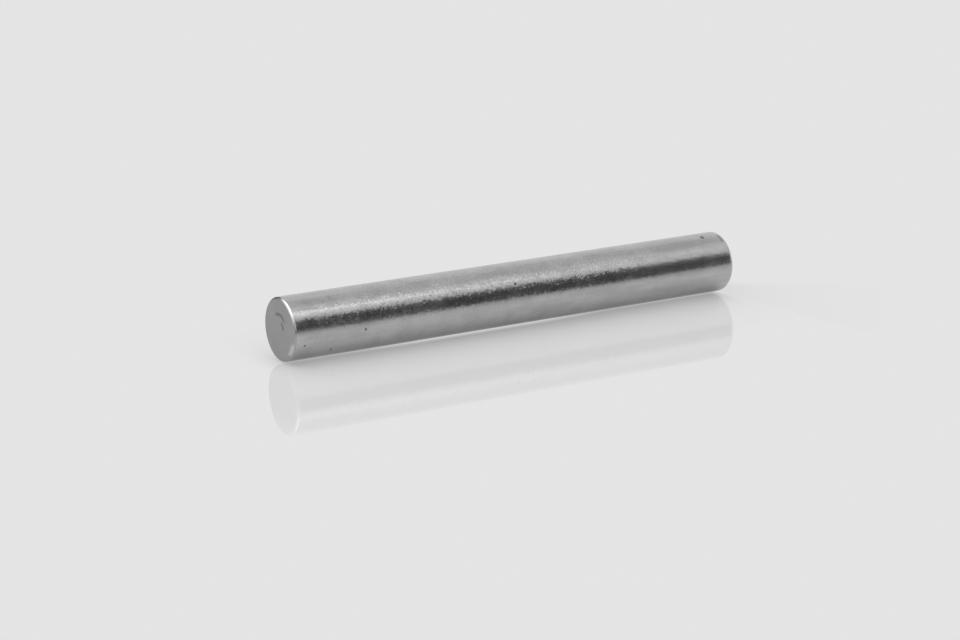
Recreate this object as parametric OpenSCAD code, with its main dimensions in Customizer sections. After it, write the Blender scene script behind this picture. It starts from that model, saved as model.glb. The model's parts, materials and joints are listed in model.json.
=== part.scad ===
// Steering lever pin: one length of round steel bar, faced square at both ends,
// with every edge tumbled round. It stands on its base end, +Z along the pin,
// with the origin at the centre of the base face.

/* [Pin] */
// Diameter of the pin
pin_d = 10; // [8:0.5:16]
// Length over both end faces
pin_l = 82; // [60:1:140]

/* [Edges] */
// Radius of the rounded edge at the base end
base_edge_r = 0.75; // [0.3:0.05:1.2]
// Radius of the rounded edge at the top end
top_edge_r = 0.5; // [0.3:0.05:1.2]

/* [Facing marks] */
// Radius of the outer tool mark on the top face, round the pin's axis
outer_mark_r = 2.4; // [1.9:0.1:2.5]
// Angle that the outer tool mark runs through
outer_mark_sweep = 68; // [20:1:120]
// Radius of the inner tool mark on the top face, round the pin's axis
inner_mark_r = 1.35; // [0.8:0.05:1.5]
// Angle that the inner tool mark runs through
inner_mark_sweep = 28; // [15:1:120]
// Width of a tool mark at the face
mark_w = 0.36; // [0.2:0.02:0.5]
// Depth of a tool mark below the face
mark_depth = 0.06; // [0.03:0.01:0.1]

/* [Dents] */
// Width of the widest dent at the pin's side
dent_w = 0.6; // [0.3:0.05:1]
// Depth of a dent for each millimetre of its width
dent_slope = 0.2; // [0.1:0.05:0.3]

/* [Hidden] */
$fn = 96;

pin_r = pin_d / 2;

// Direction, seen from above, at which each tool mark starts its sweep
outer_mark_start = -50;
inner_mark_start = -75;

// Dents in the side, one row each: height above the base, or below the top where it
// is negative; direction round the pin; width as a share of the widest dent
DENTS = [
    [42.5, -61, 0.9],
    [3.9, -18, 1],
    [-12.2, -99, 0.8],
    [-6.7, -132, 0.6],
    [-1.9, -113, 0.9],
    [-8.4, -43, 0.5]
];

// Radius of the ball that leaves a round hollow of this width and depth
function ball_r(width, depth) = (width * width / 4 + depth * depth) / (2 * depth);

// Height of a dent that is measured from the base, or from the top if negative
function dent_z(along) = along < 0 ? pin_l + along : along;

// Half of the pin's lengthways section: a rectangle whose outer corners are arcs
module half_section() {
    base_arc_x = pin_r - base_edge_r;
    top_arc_x = pin_r - top_edge_r;
    top_arc_z = pin_l - top_edge_r;
    translate([0, base_edge_r])
        square([pin_r, top_arc_z - base_edge_r]);
    square([base_arc_x, pin_l / 2]);
    translate([0, pin_l / 2])
        square([top_arc_x, pin_l / 2]);
    translate([base_arc_x, base_edge_r])
        circle(r = base_edge_r);
    translate([top_arc_x, top_arc_z])
        circle(r = top_edge_r);
}

// The bar itself, before it was marked
module bar() {
    rotate_extrude()
        half_section();
}

// Groove that a facing tool left in the top face, round the pin's axis
module tool_mark(ring_r, start, sweep) {
    tool_r = ball_r(mark_w, mark_depth);
    tool_z = pin_l + tool_r - mark_depth;
    rotate([0, 0, start])
        rotate_extrude(angle = sweep)
            translate([ring_r, tool_z])
                circle(r = tool_r);
}

// Ball that presses one dent into the side
module dent(along, direction, share) {
    width = dent_w * share;
    depth = width * dent_slope;
    press_r = ball_r(width, depth);
    rotate([0, 0, direction])
        translate([pin_r + press_r - depth, 0, dent_z(along)])
            sphere(r = press_r);
}

module pin() {
    color("lightslategray")
        difference() {
            bar();
            tool_mark(outer_mark_r, outer_mark_start, outer_mark_sweep);
            tool_mark(inner_mark_r, inner_mark_start, inner_mark_sweep);
            for (row = DENTS)
                dent(row[0], row[1], row[2]);
        }
}

pin();
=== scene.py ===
# %% [markdown]
# # A steering lever pin
# The real object is one length of round steel bar. It was cut, faced square at both ends and
# tumbled in a drum of stones, which rounds the edges and leaves a fine, grey, grainy skin.
# This lesson turns the same shape in Blender, presses the marks of its use into it, and then
# builds the steel and the small studio around it.

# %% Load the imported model
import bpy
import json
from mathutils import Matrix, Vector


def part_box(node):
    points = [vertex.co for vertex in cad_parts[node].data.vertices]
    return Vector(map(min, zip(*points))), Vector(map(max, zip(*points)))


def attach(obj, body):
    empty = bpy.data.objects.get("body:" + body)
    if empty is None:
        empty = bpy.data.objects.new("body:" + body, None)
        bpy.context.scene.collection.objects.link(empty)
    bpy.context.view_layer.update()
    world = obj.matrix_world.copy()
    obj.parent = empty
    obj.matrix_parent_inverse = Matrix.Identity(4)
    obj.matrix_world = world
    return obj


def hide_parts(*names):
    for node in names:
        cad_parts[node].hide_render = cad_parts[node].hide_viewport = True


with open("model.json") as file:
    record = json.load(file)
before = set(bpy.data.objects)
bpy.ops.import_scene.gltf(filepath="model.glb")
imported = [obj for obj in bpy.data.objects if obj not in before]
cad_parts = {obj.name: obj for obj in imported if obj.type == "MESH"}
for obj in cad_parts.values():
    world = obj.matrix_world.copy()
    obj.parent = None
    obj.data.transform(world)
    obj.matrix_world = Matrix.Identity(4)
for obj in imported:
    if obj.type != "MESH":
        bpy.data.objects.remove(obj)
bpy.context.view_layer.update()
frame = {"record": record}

# %% [markdown]
# ## Sizes
# The model is in metres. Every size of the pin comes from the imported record: its shank mount gives
# the radius and the straight stretch between the two rounded edges, so what the shank leaves at
# each end is that edge's radius.

# %% Read the pin's sizes
import json
import math

import bmesh
import bpy
from mathutils import Quaternion, Vector, noise

MM = 0.001
low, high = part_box("pin")
shank = next(mount for mount in frame["record"]["mounts"] if mount["name"] == "shank")
shank_half = shank["dims"]["length_mm"] * MM / 2
SHANK_LOW = shank["pos_m"][2] - shank_half
SHANK_HIGH = shank["pos_m"][2] + shank_half
PIN_R = shank["dims"]["r_mm"] * MM
PIN_L = high.z - low.z
PIN_HALF = PIN_L / 2
BASE_EDGE_R = SHANK_LOW - low.z
TOP_EDGE_R = high.z - SHANK_HIGH
print(f"pin {2 * PIN_R / MM:.2f} x {PIN_L / MM:.2f} mm")
print(f"edges {BASE_EDGE_R / MM:.2f} and {TOP_EDGE_R / MM:.2f} mm")

# %% [markdown]
# ## The camera
# The pin stands on its base end in its own frame, +Z up, but it is shown lying down, with its +X
# side uppermost and its top end turned to the viewer. So the camera stands off to the front, aims
# at a point beside the pin's middle, and is rolled by about a quarter turn. A 90 mm lens from
# under 0.4 m away is what a small product is usually shot with.

# %% Place the camera
LENS = 90.09
SENSOR = 36
EYE = Vector((80.36, -317.83, 238.32)) * MM
AIM = Vector((-3.53, 0, 46.60)) * MM
ROLL = math.radians(99.26)

bpy.ops.object.camera_add(location=EYE)
camera = bpy.context.object
camera.name = "camera"
camera.data.lens = LENS
camera.data.sensor_width = SENSOR
camera.rotation_mode = "QUATERNION"
upright = (AIM - EYE).to_track_quat("-Z", "Y")
camera.rotation_quaternion = upright @ Quaternion((0, 0, 1), -ROLL)
bpy.context.scene.camera = camera
print(f"camera {(EYE - AIM).length / MM:.0f} mm away")

# %% [markdown]
# ## Modelling by hand
# Operators act on what is selected, so the lesson needs two small helpers: one that clears the
# selection before a primitive is added, and one that picks edges or faces of the piece by their
# place, as a hand with a mouse would.

# %% Helpers for edit mode
def deselect_all():
    bpy.ops.object.select_all(action="DESELECT")


def pick(piece, edges=None, faces=None):
    """Selects, in edit mode, the edges or the faces for which the given test is true."""
    mesh = bmesh.from_edit_mesh(piece.data)
    bpy.ops.mesh.select_all(action="DESELECT")
    bpy.context.tool_settings.mesh_select_mode = (False, edges is not None, faces is not None)
    items, test = (mesh.edges, edges) if edges else (mesh.faces, faces)
    chosen = [item for item in items if test(item)]
    for item in chosen:
        item.select_set(True)
    bmesh.update_edit_mesh(piece.data)
    return len(chosen)


# %% [markdown]
# ## The bar
# A cylinder primitive is the sawn bar. It could be left with a Bevel modifier for its edges, but
# the two ends have different radii, so each rim is picked and bevelled on its own: a bevel with
# many segments on a square edge is a true quarter arc, as the tumbling stones leave it.

# %% Start from the sawn bar and round its two rims
AROUND = 320
ARC_STEPS = 10
ROUND_ARC = 0.5
HAIR = 0.001 * MM

deselect_all()
bpy.ops.mesh.primitive_cylinder_add(
    vertices=AROUND, radius=PIN_R, depth=PIN_L, location=(0, 0, low.z + PIN_HALF))
bar = bpy.context.object
bar.name = "pin_turned"
bpy.ops.object.transform_apply(location=True, rotation=True, scale=True)
bpy.ops.object.mode_set(mode="EDIT")
for rim_z, edge_r in ((low.z, BASE_EDGE_R), (high.z, TOP_EDGE_R)):
    count = pick(bar, edges=lambda edge: all(abs(end.co.z - rim_z) < HAIR for end in edge.verts))
    bpy.ops.mesh.bevel(offset=edge_r, segments=ARC_STEPS, profile=ROUND_ARC, affect="EDGES")
    print("rounded", count, "rim edges to", round(edge_r / MM, 2), "mm")

# %% [markdown]
# ## Rings for the dents
# A dent needs points to be pressed in. The long side faces are cut into rings a millimetre apart,
# and only the rings that a dent lies in are cut again, so the fine mesh is just where it is used.
# The dents are the pin's own, and they lie where the CAD model has them.

# %% Cut the side into rings
# Dents: height above the base or, where negative, below the top, in mm; direction round the pin
# in degrees; width in mm; how many times longer along the pin than round it
DENTS = (
    (42.5, -61, 0.54, 1.0),
    (3.9, -18, 0.8, 1.0),
    (-12.2, -99, 0.48, 0.8),
    (-6.7, -132, 0.4, 1.0),
    (-1.9, -113, 0.36, 1.3),
    (-8.4, -43, 0.3, 1.2),
)
RING_GAP = 1 * MM
FINE_CUTS = 12


def dent_height(along):
    return high.z + along * MM if along < 0 else low.z + along * MM


def on_side(edge):
    return all(SHANK_LOW - HAIR < end.co.z < SHANK_HIGH + HAIR for end in edge.verts)


def rise(edge):
    return abs(edge.verts[0].co.z - edge.verts[1].co.z)


def runs_along(edge):
    return rise(edge) > HAIR and on_side(edge)


def crosses(edge, bottom, top):
    heights = [end.co.z for end in edge.verts]
    return max(heights) > bottom and min(heights) < top


cut = pick(bar, edges=runs_along)
bpy.ops.mesh.subdivide(number_cuts=round((SHANK_HIGH - SHANK_LOW) / RING_GAP) - 1)
print("long edges cut into rings:", cut)
for along, direction, width, stretch in DENTS:
    reach = width * stretch * MM / 2
    bottom, top = dent_height(along) - reach, dent_height(along) + reach
    cut = pick(bar, edges=lambda edge: runs_along(edge) and rise(edge) > RING_GAP / 2
               and crosses(edge, bottom, top))
    bpy.ops.mesh.subdivide(number_cuts=FINE_CUTS)
    print(f"dent at {along} mm: {cut} edges cut finely")

# %% [markdown]
# ## Rings for the tool marks
# The facing tool left two curved scratches on the top face, each a part of a ring round the axis.
# The end face is inset again and again, with narrow steps where a mark runs, and a last poke
# closes the middle. The base face gets a few plain insets, so that its shading stays even.

# %% Inset both end faces
# Tool marks: radius in mm, direction of the start and sweep in degrees
MARKS = ((2.4, -50, 68), (1.35, -75, 28))
MARK_W = 0.36
PLAIN_STEP = 0.45
FINE_STEP = 0.06
# How far from a mark's middle line the narrow steps reach
FINE_REACH = MARK_W * 0.75 + PLAIN_STEP / 2
INNERMOST = 0.3


def ring_radii(outer, fine_rings):
    """The radii of the insets, from the rim inwards, in mm."""
    radii = []
    at = outer
    while at > INNERMOST:
        near = any(abs(at - ring) < FINE_REACH for ring in fine_rings)
        at -= FINE_STEP if near else PLAIN_STEP
        radii.append(max(at, INNERMOST))
    return radii


def inset_end(end_z, edge_r, fine_rings):
    before = PIN_R - edge_r
    pick(bar, faces=lambda face: abs(face.calc_center_median().z - end_z) < HAIR
         and len(face.verts) == AROUND)
    for radius in ring_radii(before / MM, fine_rings):
        bpy.ops.mesh.inset(thickness=before - radius * MM)
        before = radius * MM
    bpy.ops.mesh.poke()


inset_end(high.z, TOP_EDGE_R, [radius for radius, start, sweep in MARKS])
inset_end(low.z, BASE_EDGE_R, [])
bpy.ops.mesh.select_all(action="SELECT")
bpy.ops.mesh.normals_make_consistent(inside=False)
bpy.ops.object.mode_set(mode="OBJECT")
print("faces of the bar:", len(bar.data.polygons))

# %% [markdown]
# ## Press in the dents and marks
# The hollows could be sculpted, but a vertex group does it with no brush: each point gets the
# share of the deepest hollow that belongs there as its weight, and one Displace modifier then
# pushes the skin in along its own normals. A little noise makes each outline ragged. Grime and
# oxide stay in a hollow that the stones can't reach, so how dirty each point is goes into an
# attribute of the mesh, where the steel's material can read it later.

# %% How deep and how dirty each point is
DENT_SLOPE = 0.2
DEEPEST = max(width for along, direction, width, stretch in DENTS) * DENT_SLOPE
RAGGED = 0.35
RAGGED_SIZE = 0.18
DENT_GRIME = 2.2
MARK_DEPTH = 0.06
MARK_GRIME = 0.5
MARK_SPREAD = 1.6
MARK_FADE = 2


def ragged(point):
    return 1 + RAGGED * noise.noise(point / (RAGGED_SIZE * MM))


def bowl(distance):
    """1 in the middle of a hollow, 0 from a distance of 1 outwards."""
    return math.sqrt(max(0, 1 - distance ** 2))


def dent_share(point):
    shares = [0]
    for along, direction, width, stretch in DENTS:
        turn = math.atan2(point.y, point.x) - math.radians(direction)
        across = math.remainder(turn, math.tau) * PIN_R
        lengthways = (point.z - dent_height(along)) / stretch
        distance = math.hypot(across, lengthways) / (width * MM / 2) * ragged(point)
        shares.append(bowl(distance) * width * DENT_SLOPE / DEEPEST)
    return max(shares)


def mark_distance(point):
    """How far a point of the top face lies from the nearest mark's middle line, in half widths."""
    distances = []
    radius = math.hypot(point.x, point.y)
    for ring, start, sweep in MARKS:
        middle = math.radians(start + sweep / 2)
        turn = math.remainder(math.atan2(point.y, point.x) - middle, math.tau)
        past_end = max(0, abs(turn) - math.radians(sweep / 2)) * radius
        distances.append(math.hypot(radius - ring * MM, past_end) / (MARK_W * MM / 2))
    return min(distances) * ragged(point)


def depth_and_grime(point):
    """The share of the deepest hollow at a point, and how much grime has stayed there."""
    if math.hypot(point.x, point.y) > PIN_R - HAIR:
        share = dent_share(point)
        return share, min(1, DENT_GRIME * share)
    if point.z > high.z - HAIR:
        distance = mark_distance(point)
        left = min(1, max(0, MARK_FADE * (MARK_SPREAD - distance)))
        return bowl(distance) * MARK_DEPTH / DEEPEST, MARK_GRIME * left
    return 0, 0


found = [depth_and_grime(vertex.co) for vertex in bar.data.vertices]
shares = [share for share, dirt in found]
print("points in a hollow:", sum(share > 0 for share in shares))

# %% Weigh the hollows and displace
def apply_modifier(piece, kind, **settings):
    modifier = piece.modifiers.new(kind.lower(), kind)
    for name, value in settings.items():
        setattr(modifier, name, value)
    bpy.ops.object.modifier_apply(modifier=modifier.name)


hollows = bar.vertex_groups.new(name="hollows")
for index, share in enumerate(shares):
    if share > 0:
        hollows.add([index], share, "REPLACE")
grime_layer = bar.data.attributes.new("grime", "FLOAT", "POINT")
grime_layer.data.foreach_set("value", [dirt for share, dirt in found])
apply_modifier(bar, "DISPLACE", vertex_group="hollows", strength=-DEEPEST * MM, mid_level=0)
print(f"pressed in up to {DEEPEST:.2f} mm deep")

# %% [markdown]
# ## Tumbled skin
# No tumbled bar is perfectly straight: the stones leave waves a few millimetres long and a few
# thousandths of a millimetre deep, which is what makes a reflection run unevenly along it. A cloud
# texture in a second Displace modifier gives them. It only presses inwards, so the pin keeps its
# size. Smooth shading by angle then keeps the whole surface round.

# %% Add the waves and shade smooth
WAVE_SIZE = 6
WAVE_HEIGHT = 0.006
SMOOTH_BELOW = math.radians(40)

waves = bpy.data.textures.new("tumbling_waves", "CLOUDS")
waves.noise_scale = WAVE_SIZE * MM
apply_modifier(bar, "DISPLACE", texture=waves, texture_coords="LOCAL",
               strength=WAVE_HEIGHT * MM, mid_level=1)
bpy.ops.object.shade_smooth_by_angle(angle=SMOOTH_BELOW)
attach(bar, "root")
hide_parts("pin")
print("triangles:", sum(len(face.vertices) - 2 for face in bar.data.polygons))

# %% [markdown]
# ## Shader maths as plain expressions
# Long chains of Math nodes are hard to read. `Value` wraps one socket and turns `+`, `-`, `*`,
# `**` and `abs` into Math nodes, so a pattern is written as a formula. `step`, `near` and
# `at_least` are the three slopes that the masks of this pin are made of.

# %% A class for values in a node tree
class Value:
    """One output of a node, which can be used in a formula."""
    def __init__(self, recipe, socket):
        self.recipe = recipe
        self.socket = socket

    def math(self, operation, *values):
        settings = {"operation": operation}
        return self.recipe.node("ShaderNodeMath", settings, dict(enumerate(values)))["Value"]

    def __add__(self, other):
        return self.math("ADD", self, other)

    def __radd__(self, other):
        return self.math("ADD", other, self)

    def __sub__(self, other):
        return self.math("SUBTRACT", self, other)

    def __rsub__(self, other):
        return self.math("SUBTRACT", other, self)

    def __mul__(self, other):
        return self.math("MULTIPLY", self, other)

    def __rmul__(self, other):
        return self.math("MULTIPLY", other, self)

    def __pow__(self, other):
        return self.math("POWER", self, other)

    def __abs__(self):
        return self.math("ABSOLUTE", self)

    def step(self, start, end):
        """0 on the side of start, 1 on the side of end, and a smooth slope between them."""
        made = self.recipe.node(
            "ShaderNodeMapRange", {"interpolation_type": "SMOOTHSTEP"},
            {"Value": self, "From Min": start, "From Max": end})
        return made["Result"]

    def near(self, middle, full, none):
        """1 up to the distance full from the middle, 0 from the distance none outwards."""
        return abs(self - middle).step(none, full)

    def at_least(self, least):
        """The same mask, but going from least to 1."""
        return least + (1 - least) * self


# %% [markdown]
# ## One method for every node
# `Recipe` holds the node tree of one material, or of the world. Its `node` adds any node from its
# kind, its settings and its sockets. The other methods are the few patterns that this pin needs.
# The facets could be relief for a Bump node, but that would round them off. So each cell of a
# Voronoi pattern adds its own random direction to the normal instead.

# %% A class for node trees
# A Mix node has the same names for numbers and colours, so its colour sockets go by their number
MIX_SHARE = 0
MIX_FIRST = 6
MIX_SECOND = 7
NOISE_MIDDLE = 0.5
CLOUD_ROUGHNESS = 0.55
# A power of two makes most facets tip a little and only a few of them far
TIP_SCALE = 2
TIP_POWER = 2


class Recipe:
    """A node tree that starts empty."""
    def __init__(self, owner):
        owner.use_nodes = True
        self.owner = owner
        self.tree = owner.node_tree
        self.tree.nodes.clear()

    def node(self, kind, settings=None, sockets=None):
        """Adds a node: its settings first, then each socket's value or link. Returns its outputs."""
        made = self.tree.nodes.new(kind)
        for name, value in (settings or {}).items():
            setattr(made, name, value)
        for key, value in (sockets or {}).items():
            if isinstance(value, Value):
                self.tree.links.new(value.socket, made.inputs[key])
            else:
                made.inputs[key].default_value = value
        return {output.name: Value(self, output) for output in made.outputs if output.enabled}

    def mix_colour(self, share, first, second):
        sockets = {MIX_SHARE: share, MIX_FIRST: first, MIX_SECOND: second}
        return self.node("ShaderNodeMix", {"data_type": "RGBA"}, sockets)["Result"]

    def mix_shader(self, share, first, second):
        return self.node("ShaderNodeMixShader", {}, {0: share, 1: first, 2: second})["Shader"]

    def vector_math(self, operation, *vectors, **sockets):
        """Vector Math: the vectors in order, then sockets by name. Returns its only output."""
        sockets = dict(enumerate(vectors)) | sockets
        made = self.node("ShaderNodeVectorMath", {"operation": operation}, sockets)
        return next(iter(made.values()))

    def place(self):
        """The point's own place on the piece, as one vector."""
        return self.node("ShaderNodeTexCoord")["Object"]

    def parts(self, vector):
        """The three parts of a vector, by the names X, Y and Z."""
        return self.node("ShaderNodeSeparateXYZ", {}, {0: vector})

    def zoomed(self, place, across, along):
        """The place, measured in lumps of the given sizes in mm across and along the pin."""
        scale = (1 / (across * MM), 1 / (across * MM), 1 / (along * MM))
        return self.node("ShaderNodeMapping", {}, {"Vector": place, "Scale": scale})["Vector"]

    def cloud(self, place, size, detail, stretch):
        """Soft noise with lumps of the given size in mm, drawn out along the pin by stretch."""
        return self.node("ShaderNodeTexNoise", {}, {
            "Vector": self.zoomed(place, size, size * stretch), "Scale": 1,
            "Detail": detail, "Roughness": CLOUD_ROUGHNESS})["Fac"]

    def facets(self, place, size):
        """Cells of the given size in mm, each with a random colour of its own."""
        return self.node("ShaderNodeTexVoronoi", {}, {
            "Vector": self.zoomed(place, size, size), "Scale": 1})["Color"]

    def tipped(self, facet, tilt, relief):
        """The surface's normal, tipped its own way in each facet, with a relief in mm on top."""
        way = self.vector_math("SUBTRACT", facet, (NOISE_MIDDLE, NOISE_MIDDLE, NOISE_MIDDLE))
        far = self.vector_math("LENGTH", way)
        way = self.vector_math("SCALE", way, Scale=tilt * (far * TIP_SCALE) ** TIP_POWER)
        normal = self.vector_math("ADD", self.node("ShaderNodeNewGeometry")["Normal"], way)
        return self.node("ShaderNodeBump", {}, {
            "Height": relief, "Strength": 1, "Distance": MM,
            "Normal": self.vector_math("NORMALIZE", normal)})["Normal"]


def grey(level):
    return (level, level, level, 1)


BLACK = grey(0)
WHITE = grey(1)

# %% [markdown]
# ## The steel: its places
# Tumbled steel is grey and satin: a mirror broken up by small facets where the stones struck it.
# Its parts differ, and one material can hold them all with masks made from the place on the pin:
# the flat end faces, the roundings next to them, and the grime that the mesh brings with it.

# %% Start the steel and find its places
# Where each slope starts and ends, as a distance from the middle of the pin's length
FACE_EDGE = (PIN_HALF - 0.3 * MM, PIN_HALF - 0.08 * MM)
ROUNDING_EDGE = (PIN_HALF - 0.5 * MM, PIN_HALF - 0.35 * MM)

steel = Recipe(bpy.data.materials.new("tumbled_steel"))
place = steel.place()
pin_at = steel.parts(place)
x, y, z = pin_at["X"], pin_at["Y"], pin_at["Z"]
from_middle = abs(z - PIN_HALF)
grime = steel.node("ShaderNodeAttribute", {"attribute_name": "grime"})["Fac"]
end_face = from_middle.step(*FACE_EDGE)
rounding = from_middle.step(*ROUNDING_EDGE) * (1 - end_face)
print("nodes of the steel's places:", len(steel.tree.nodes))

# %% [markdown]
# ## The steel: its grain
# The facets are a sixth of a millimetre across. They could be carved into the mesh, but that
# would take millions of faces, so they are in the shader. Clumps and patches of a cloud pattern
# lie over them as a slow relief, and streaks run along the bar as it came from the mill. The
# grain is strongest on the side that faces up, weaker on the side the bar slides on, and it fades
# towards both ends and on the end faces. A few dark specks lie near the top end.

# %% Lay out the grain
# Clouds: the size of their lumps in mm, their detail, and how far they are drawn out along the pin
CLUMPS = (0.9, 1, 1)
PATCHES = (3, 3, 1)
STREAKS = (1.2, 4, 8)
SPECKS = (0.55, 0, 1)
CLOUD_EDGE = (0.35, 0.65)
SPECK_EDGE = (0.74, 0.82)
HALF = 0.5
FACET = 0.16
SIDE_RAGGED = 2
SIDE_EDGE = (0.2 * MM, 1.4 * MM)
LEAST_GRAIN = 0.35
FACE_SMOOTH = 0.6
# Along the pin: the middle of the grainy stretch, how far the grain is full, and where it is least
GRAIN_ALONG = (48 * MM, 18 * MM, 38 * MM)
END_GRAIN = 0.5
SPECKS_ALONG = (45 * MM, 75 * MM)
FEWEST_SPECKS = 0.15

clumps = steel.cloud(place, *CLUMPS)
patches = steel.cloud(place, *PATCHES)
streaks = steel.cloud(place, *STREAKS)
worn = (patches * HALF + streaks * HALF).step(*CLOUD_EDGE)
facet = steel.facets(place, FACET)
coarse = (x + (patches - NOISE_MIDDLE) * SIDE_RAGGED * MM).step(*SIDE_EDGE)
coarse = coarse.at_least(LEAST_GRAIN) * (1 - end_face * FACE_SMOOTH)
coarse = coarse * z.near(*GRAIN_ALONG).at_least(END_GRAIN)
specks = steel.cloud(place, *SPECKS).step(*SPECK_EDGE) * (1 - end_face)
specks = specks * z.step(*SPECKS_ALONG).at_least(FEWEST_SPECKS)
print("nodes with the grain:", len(steel.tree.nodes))

# %% [markdown]
# ## The steel: a painted highlight and a dark line
# The rim of the top face has one spot that is painted lighter, a painted highlight, and the rounding
# of the base end has a short dark line. Neither is in the mesh, so they are masks: each is where a
# few slopes along the axes overlap.

# %% Mask the painted highlight and the dark line
# Where each slope starts and ends
RIM = (3.8 * MM, 4.6 * MM)
HIGHLIGHT_TOP = (PIN_L - 0.25 * MM, PIN_L - 0.1 * MM)
HIGHLIGHT_FRONT = (0, -2 * MM)
DARK_LINE_UPPER = (0, 1 * MM)
# The middle of each mark, how far it is full, and where it ends
HIGHLIGHT_X = (-2.45 * MM, 0.5 * MM, 1.3 * MM)
DARK_LINE_Z = (0.98 * MM, 0.1 * MM, 0.3 * MM)
DARK_LINE_Y = (-2.35 * MM, 0.6 * MM, 1 * MM)

from_axis = (x ** 2 + y ** 2) ** 0.5
# A painted highlight on the top rim
painted_highlight = z.step(*HIGHLIGHT_TOP) * from_axis.step(*RIM) * x.near(*HIGHLIGHT_X) * y.step(*HIGHLIGHT_FRONT)
# A short line painted darker along the base rounding
dark_line = z.near(*DARK_LINE_Z) * y.near(*DARK_LINE_Y) * x.step(*DARK_LINE_UPPER)
print("nodes with the small marks:", len(steel.tree.nodes))

# %% [markdown]
# ## The steel: its colour
# A metal's colour is that of its reflections. Worn skin is a little lighter, and the end faces were
# cut across the bar and are darker. Each rounding has a painted shade on its lower half and a
# painted highlight on its upper half. A painted highlight on the top rim, then grime, specks and a
# short dark line lie over that. Every facet gets a slight shade of its own as well, so that the
# grain also shows where the surroundings are even.

# %% Mix the steel's colour
SKIN = grey(0.59)
WORN_SKIN = grey(0.69)
# Each rounding: a painted shade on its lower half, a painted highlight on its upper half
ROUNDING_SHADE = grey(0.5)
ROUNDING_HIGHLIGHT = grey(0.78)
ROUNDING_TURN = (0, 2 * MM)
FACE = grey(0.41)
FACE_PATCH = grey(0.44)
# The colour of the painted highlight on the top rim
HIGHLIGHT_COLOUR = grey(0.8)
HIGHLIGHT_COVER = 0.6
DIRT = grey(0.1)
SPECK_DIRT = 0.2
# How much of the dark colour the short dark line on the base rounding takes
DARK_LINE_SHARE = 0.5
DIRT_COVER = 0.8
SKIN_SHADE = 0.2
FACET_SHADE = 0.12

colour = steel.mix_colour(worn, SKIN, WORN_SKIN)
# Painted shade on the lower half of each rounding, painted highlight on the upper half
rounding_highlight_and_shade = steel.mix_colour(x.step(*ROUNDING_TURN), ROUNDING_SHADE, ROUNDING_HIGHLIGHT)
colour = steel.mix_colour(rounding, colour, rounding_highlight_and_shade)
face_colour = steel.mix_colour(patches.step(*CLOUD_EDGE), FACE, FACE_PATCH)
colour = steel.mix_colour(end_face, colour, face_colour)
# The painted highlight on the top rim
colour = steel.mix_colour(painted_highlight * HIGHLIGHT_COVER, colour, HIGHLIGHT_COLOUR)
# Grime and specks darken the steel, and so does the short dark line on the base rounding
dirt = (grime + specks * SPECK_DIRT + dark_line * DARK_LINE_SHARE) * DIRT_COVER
colour = steel.mix_colour(dirt, colour, DIRT)
shine = steel.parts(facet)["X"] - NOISE_MIDDLE
colour = steel.mix_colour(shine * FACET_SHADE * coarse + SKIN_SHADE, colour, BLACK)
print("nodes with the colour:", len(steel.tree.nodes))

# %% [markdown]
# ## The steel: its polish and relief
# The polish is nearly even, because the facets and not the roughness break the reflection up.
# Worn skin, grime and the base end are a little duller, and the end faces clearly so. The relief
# is only the clumps and patches, a few hundredths of a millimetre high.

# %% Finish the steel and give it to the bar
POLISH = 0.2
WORN_ROUGH = 0.04
FACE_ROUGH = 0.18
GRIME_ROUGH = 0.25
BASE_ROUGH = 0.02
BASE_ALONG = (35 * MM, 5 * MM)
CLUMP_HEIGHT = 0.03
PATCH_HEIGHT = 0.03
FACET_TILT = 0.12

roughness = POLISH + worn * WORN_ROUGH + end_face * FACE_ROUGH + grime * GRIME_ROUGH
roughness = roughness + BASE_ROUGH * z.step(*BASE_ALONG)
relief = (clumps - NOISE_MIDDLE) * CLUMP_HEIGHT * coarse
relief = relief + (patches - NOISE_MIDDLE) * PATCH_HEIGHT * (1 - end_face)
shader = steel.node("ShaderNodeBsdfPrincipled", {}, {
    "Base Color": colour, "Metallic": 1, "Roughness": roughness,
    "Normal": steel.tipped(facet, coarse * FACET_TILT, relief)})
steel.node("ShaderNodeOutputMaterial", {}, {"Surface": shader["BSDF"]})
bar.data.materials.clear()
bar.data.materials.append(steel.owner)
print("nodes of the whole steel:", len(steel.tree.nodes))

# %% [markdown]
# ## The pale sheets
# The pin is shown on a sheet of glossy white plastic that lies along its side. A second, plain
# sheet under the base end is what it stands on when it is seen upright. Their light is an emission
# of one even level, so they stay pale whatever the lamps do, and ambient occlusion takes from it
# what the pin keeps off: that is the pin's soft shade. Both are clear from behind.

# %% Helpers for the sheets
BACKGROUND = 0.778
SHEET_SIZE = 6
SHADE_SAMPLES = 16


def pale_sheet(name, location, turn, in_reflections):
    deselect_all()
    bpy.ops.mesh.primitive_plane_add(size=SHEET_SIZE, location=location, rotation=turn)
    plane = bpy.context.object
    plane.name = name
    bpy.ops.object.transform_apply(location=True, rotation=True, scale=True)
    plane.visible_shadow = False
    plane.visible_glossy = in_reflections
    plane.visible_diffuse = in_reflections
    plane.data.materials.append(bpy.data.materials.new(name))
    return Recipe(plane.data.materials[0])


def pointing(recipe, parts):
    """A direction, made of its three parts."""
    return recipe.node("ShaderNodeCombineXYZ", {}, dict(enumerate(parts)))["Vector"]


def shaded(recipe, towards, reach, depth):
    """How much of the light the pin leaves, looking from the sheet towards the given side."""
    open_sky = recipe.node("ShaderNodeAmbientOcclusion", {"samples": SHADE_SAMPLES}, {
        "Distance": reach, "Normal": pointing(recipe, towards)})["AO"]
    return 1 - depth * (1 - open_sky)


def glow(recipe, level):
    """An even light of its own, from 0, black, to 1, white."""
    colour = recipe.mix_colour(level, BLACK, WHITE)
    return recipe.node("ShaderNodeEmission", {}, {"Color": colour, "Strength": 1})["Emission"]


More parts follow.
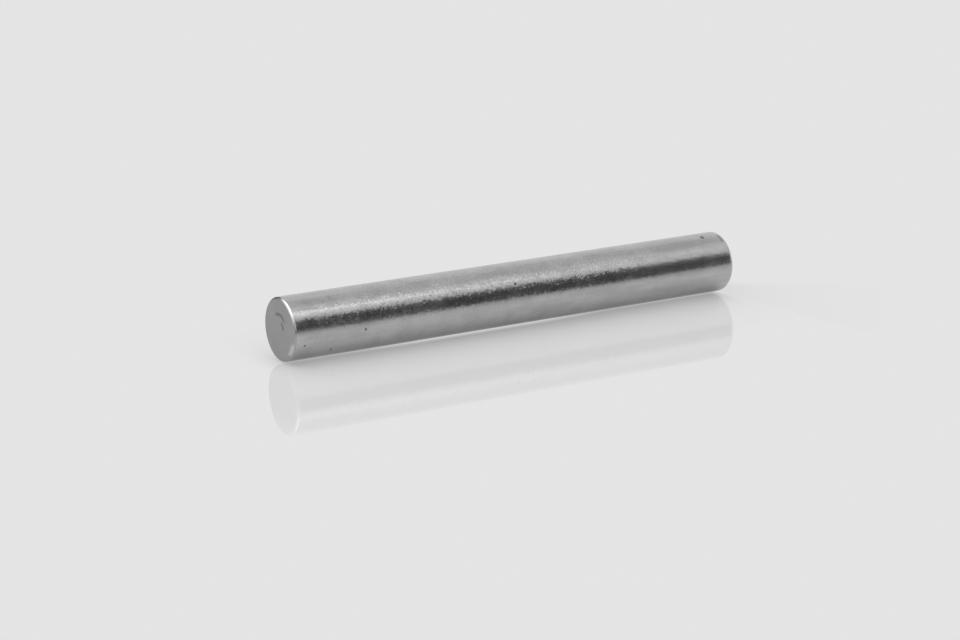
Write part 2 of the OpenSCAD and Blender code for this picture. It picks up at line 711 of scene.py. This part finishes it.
def finish_sheet(recipe, surface):
    clear = recipe.node("ShaderNodeBsdfTransparent")["BSDF"]
    behind = recipe.node("ShaderNodeNewGeometry")["Backfacing"]
    surface = recipe.mix_shader(behind, surface, clear)
    recipe.node("ShaderNodeOutputMaterial", {}, {"Surface": surface})


# %% [markdown]
# ## The light of the glossy sheet
# The sheet's shade is deepest where the pin touches it, and it ends a little past the pin's two
# ends. A sliver of light gets in under the pin's middle. In reflections the shade is deeper, and
# the sheet's light falls off towards the front, as on a table that ends there, which gives the
# dark stripe on the bar its soft lower edge. Real cards and lamps could give the same, but each of
# them would also change what the others do.

# %% Lay the glossy sheet and shade it
SHEET_GAP = 0.25 * MM
QUARTER_TURN = math.radians(90)
FALL_OFF = (-14 * MM, -105 * MM)
SHADE_DEPTH = 0.55
SHADE_REACH = 22 * MM
# Along the pin: the middle of the shade, how far it is full, and where it ends
SHADE_ALONG = (PIN_HALF, PIN_HALF - 2 * MM, PIN_HALF + 5 * MM)
SLIVER_ALONG = (47 * MM, 8 * MM, 27 * MM)
UNDER = (-2 * MM, -0.5 * MM)
SLIVER = 0.5
REFLECTED_SHADE = 0.2
REFLECTED_SLIVER = 0.3

plastic = pale_sheet("lying_sheet", location=(-PIN_R - SHEET_GAP, 0, 0),
                     turn=(0, QUARTER_TURN, 0), in_reflections=True)
lying_at = plastic.parts(plastic.place())
y, z = lying_at["Y"], lying_at["Z"]
glossy_ray = plastic.node("ShaderNodeLightPath")["Is Glossy Ray"]
falls_off = 1 - glossy_ray * y.step(*FALL_OFF)
beside = z.near(*SHADE_ALONG)
under = y.step(*UNDER)
sliver = SLIVER * under * z.near(*SLIVER_ALONG) * (1 - glossy_ray)
reflected = glossy_ray * (REFLECTED_SHADE - REFLECTED_SLIVER * under)
depth = beside * (SHADE_DEPTH * (1 - sliver) + reflected)
level = BACKGROUND * shaded(plastic, (1, 0, 0), SHADE_REACH, depth) * falls_off
surface = glow(plastic, level)
print("nodes of the sheet's light:", len(plastic.tree.nodes))

# %% [markdown]
# ## The gloss of the glossy sheet
# A mirror mixed in by Fresnel gives the pin's image in the plastic. A real sheet sags a little,
# which a normal that leans with the place gives without bending the plane. The gloss is kept to a
# round patch about the pin, and it fades where the sheet is seen edge-on, so that nothing but the
# pin shows in it.

# %% Add the gloss and finish the sheet
SAG = 0.35
GLOSS_ROUGH = 0.03
PLASTIC_IOR = 1.5
GLOSS_SHARE = 0.65
PATCH_MIDDLE = -20 * MM
PATCH_EDGE = (72 * MM, 52 * MM)
EVEN_BLEND = 0.5
EDGE_ON = (0.86, 0.95)

mirror = plastic.node("ShaderNodeBsdfGlossy", {}, {
    "Color": WHITE, "Roughness": GLOSS_ROUGH, "Normal": pointing(plastic, (1, y * -SAG, 0))})
from_patch = ((y - PATCH_MIDDLE) ** 2 + (z - PIN_HALF) ** 2) ** 0.5
fresnel = plastic.node("ShaderNodeFresnel", {}, {"IOR": PLASTIC_IOR})["Fac"]
facing = plastic.node("ShaderNodeLayerWeight", {}, {"Blend": EVEN_BLEND})["Facing"]
gloss = fresnel * GLOSS_SHARE * from_patch.step(*PATCH_EDGE) * (1 - facing.step(*EDGE_ON))
finish_sheet(plastic, plastic.mix_shader(gloss, surface, mirror["BSDF"]))
print("nodes of the whole glossy sheet:", len(plastic.tree.nodes))

# %% [markdown]
# ## The plain sheet
# This sheet is level under the base end. The pin shades only a narrow, slanted streak of it, next
# to the end, because the sheet is lit from all sides. It is left out of reflections, so that the
# steel and the gloss show only what stands round the pin as it lies.

# %% Lay the plain sheet under the base end
STREAK_REACH = 45 * MM
STREAK_TOWARDS = (0.3, 0.9, 0.3)
STREAK_DEPTH = 0.22
STREAK_SLANT = 0.17
STREAK_EDGE = (-3.2 * MM, -4.9 * MM)

paper = pale_sheet("standing_sheet", location=(0, 0, low.z),
                   turn=(0, 0, 0), in_reflections=False)
standing_at = paper.parts(paper.place())
across = standing_at["X"] + standing_at["Y"] * STREAK_SLANT
depth = STREAK_DEPTH * across.step(*STREAK_EDGE)
level = BACKGROUND * shaded(paper, STREAK_TOWARDS, STREAK_REACH, depth)
finish_sheet(paper, glow(paper, level))
print("nodes of the plain sheet:", len(paper.tree.nodes))

# %% [markdown]
# ## The lights
# A polished bar shows its surroundings, so its look is made by what stands round it. The world is
# as pale as the sheets. A large softbox with a brighter core hangs over the side that faces up, a
# narrow strip lamp with a wider glow stands at the front, and black and grey flags keep light off,
# which draws the dark stripe along the bar. Each is placed by its direction as seen from the pin.

# %% Make the world and the helpers for lamps and flags
PIN_MIDDLE = Vector((0, 0, PIN_HALF))

world = bpy.data.worlds.new("studio")
bpy.context.scene.world = world
sky = Recipe(world)
around = sky.node("ShaderNodeBackground", {}, {"Color": WHITE, "Strength": BACKGROUND})
sky.node("ShaderNodeOutputWorld", {}, {"Surface": around["Background"]})
print("world at a level of", BACKGROUND)


def stand(made, name, round_angle, tilt, distance):
    """Stands a thing at an angle round the pin, 0 the front and 90 the side that faces up."""
    turn = math.radians(round_angle)
    lean = math.radians(tilt)
    level = math.cos(lean)
    back = Vector((math.sin(turn) * level, -math.cos(turn) * level, math.sin(lean)))
    made.name = name
    made.location = PIN_MIDDLE + back * distance
    made.rotation_euler = back.to_track_quat("Z", "Y").to_euler()
    made.visible_camera = False


def lamp(name, round_angle, tilt, distance, width, height, radiance):
    bpy.ops.object.light_add(type="AREA")
    made = bpy.context.object
    made.data.shape = "RECTANGLE"
    made.data.size = width
    made.data.size_y = height
    made.data.energy = radiance * math.pi * width * height
    stand(made, name, round_angle, tilt, distance)


def flag(name, round_angle, tilt, distance, width, height, level):
    deselect_all()
    bpy.ops.mesh.primitive_plane_add(size=1)
    made = bpy.context.object
    made.scale = (width, height, 1)
    stand(made, name, round_angle, tilt, distance)
    made.visible_shadow = False
    made.data.materials.append(bpy.data.materials.new(name))
    card = Recipe(made.data.materials[0])
    paint = card.node("ShaderNodeEmission", {}, {"Color": grey(level), "Strength": 1})
    card.node("ShaderNodeOutputMaterial", {}, {"Surface": paint["Emission"]})


# %% Light and flag the pin
# Each: degrees round the pin, degrees of tilt, distance, width and height in m, and its level
LAMPS = {
    "softbox": (92, 33, 0.4, 0.75, 0.5, 0.7),
    "softbox_core": (92, 31, 0.39, 0.4, 0.46, 0.9),
    "strip_lamp": (59.5, -20, 0.5, 0.04, 0.16, 1.05),
    "strip_glow": (55.5, -12, 0.5, 0.16, 0.36, 0.22),
}
FLAGS = {
    "black_flag": (18.1, -30, 0.5, 0.293, 0.36, 0.045),
    "back_flag": (158, 8, 0.5, 0.4, 0.36, 0.1),
    "front_flag": (0, 30, 0.5, 0.5, 0.4, 0.45),
    "top_flag": (103, -30, 0.5, 0.3, 0.36, 0.62),
}

for name, values in LAMPS.items():
    lamp(name, *values)
for name, values in FLAGS.items():
    flag(name, *values)
print("lamps:", ", ".join(LAMPS), "flags:", ", ".join(FLAGS))

# %% [markdown]
# ## Finish
# The scene's colours are shown through the Standard view transform.

# %% Finish
bpy.context.scene.view_settings.view_transform = "Standard"
